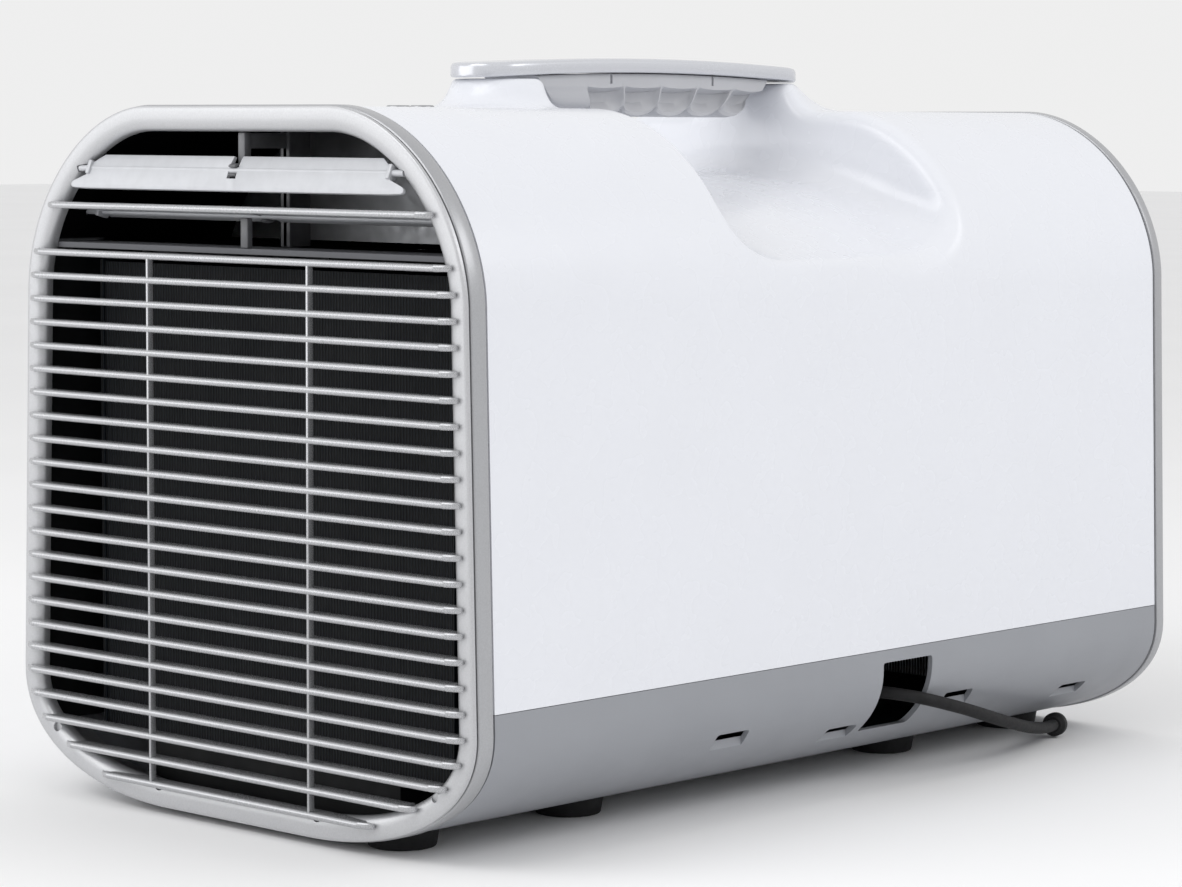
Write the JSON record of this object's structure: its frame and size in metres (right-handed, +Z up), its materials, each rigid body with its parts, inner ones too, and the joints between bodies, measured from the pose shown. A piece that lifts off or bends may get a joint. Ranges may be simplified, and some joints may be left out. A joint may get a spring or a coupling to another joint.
{
  "type": "portable air conditioner",
  "caption": "Loaf-shaped portable air conditioner with a slatted intake front, an arched louvred outlet above it and a carrying handle over a hand scoop.",
  "frame": {"origin": "On the floor under the middle of the body, handle and feet, with the drain hose left out of account.", "axes": "+Z is up. -Y is the cold-air face with the slats and the outlet, +Y the warm-air end. +X is the side with the drain port."},
  "size_m": [0.3023, 0.506, 0.3423],
  "materials": {
    "silver_plastic": "silver paint, satin",
    "white_plastic": "moulded, semi-gloss",
    "grey_plastic": "fine texture",
    "cap_plastic": "light silver paint, satin",
    "grip_plastic": "moulded, satin",
    "rubber": "matte",
    "dark_plastic": "matte",
    "coated_fins": "dark blue coating",
    "bare_fins": "mill",
    "copper": "drawn copper tube",
    "sheet_steel": "zinc plated",
    "black_steel": "black paint",
    "circuit_board": "solder mask",
    "gloss_black": "polished"
  },
  "bodies": {
    "unit": {"upper_casing": "white_plastic", "lower_base": "grey_plastic", "front_ring": "silver_plastic", "front_bezel": "silver_plastic", "intake_slats": "silver_plastic", "outlet_slat": "silver_plastic", "louvre_hanger": "dark_plastic", "handle_cap": "cap_plastic", "handle_grip": "grip_plastic", "foot_front_left": "rubber", "foot_front_right": "rubber", "foot_front_middle_left": "rubber", "foot_front_middle_right": "rubber", "foot_rear_middle_left": "rubber", "foot_rear_middle_right": "rubber", "foot_rear_left": "rubber", "foot_rear_right": "rubber", "evaporator_coil": "coated_fins", "drain_pan": "dark_plastic", "outlet_duct": "cap_plastic", "blower_scroll": "dark_plastic", "blower_motor": "sheet_steel", "bulkhead": "sheet_steel", "chassis_plate": "sheet_steel", "compressor": "black_steel", "compressor_grommet_1": "rubber", "compressor_grommet_2": "rubber", "compressor_grommet_3": "rubber", "accumulator": "black_steel", "suction_pipe": "copper", "discharge_pipe": "copper", "liquid_line": "copper", "board_tray": "dark_plastic", "control_board": "circuit_board", "condenser_coil": "bare_fins", "fan_shroud": "dark_plastic", "fan_motor": "sheet_steel", "rear_ring": "silver_plastic", "rear_grille": "grey_plastic", "power_inlet": "gloss_black", "rear_screw_1": "sheet_steel", "rear_screw_2": "sheet_steel", "rear_screw_3": "sheet_steel", "rear_screw_4": "sheet_steel", "control_panel": "dark_plastic", "display_window": "gloss_black", "drain_hose": "rubber", "drain_spigot": "dark_plastic", "drain_stopper": "rubber"},
    "upper_blade": {"louvre_upper": "cap_plastic"},
    "lower_blade": {"louvre_lower": "cap_plastic"},
    "blower": {"blower_wheel": "dark_plastic"},
    "fan": {"condenser_fan": "dark_plastic"},
    "power_key": {"button_power": "silver_plastic"},
    "mode_key": {"button_mode": "silver_plastic"},
    "cooler_key": {"button_cooler": "silver_plastic"},
    "warmer_key": {"button_warmer": "silver_plastic"}
  },
  "joints": [
    {"name": "upper_blade_tilt", "type": "hinge", "parent": "unit", "child": "upper_blade", "pos_m": [0, -0.246, 0.29], "axis": [1, 0, 0], "range_deg": [-85, 10]},
    {"name": "lower_blade_tilt", "type": "hinge", "parent": "unit", "child": "lower_blade", "pos_m": [0, -0.2275, 0.27], "axis": [1, 0, 0], "range_deg": [-10, 85]},
    {"name": "blower_spin", "type": "hinge", "parent": "unit", "child": "blower", "pos_m": [0, -0.14, 0.148], "axis": [0, 1, 0], "continuous": true},
    {"name": "fan_spin", "type": "hinge", "parent": "unit", "child": "fan", "pos_m": [0, 0.21, 0.16], "axis": [0, 1, 0], "continuous": true},
    {"name": "power_press", "type": "slide", "parent": "unit", "child": "power_key", "axis": [0, 0, -1], "range_m": [0, 0.0012], "stiffness_N_per_m": 500, "springref_m": -0.001},
    {"name": "mode_press", "type": "slide", "parent": "unit", "child": "mode_key", "axis": [0, 0, -1], "range_m": [0, 0.0012], "stiffness_N_per_m": 500, "springref_m": -0.001},
    {"name": "cooler_press", "type": "slide", "parent": "unit", "child": "cooler_key", "axis": [0, 0, -1], "range_m": [0, 0.0012], "stiffness_N_per_m": 500, "springref_m": -0.001},
    {"name": "warmer_press", "type": "slide", "parent": "unit", "child": "warmer_key", "axis": [0, 0, -1], "range_m": [0, 0.0012], "stiffness_N_per_m": 500, "springref_m": -0.001}
  ]
}
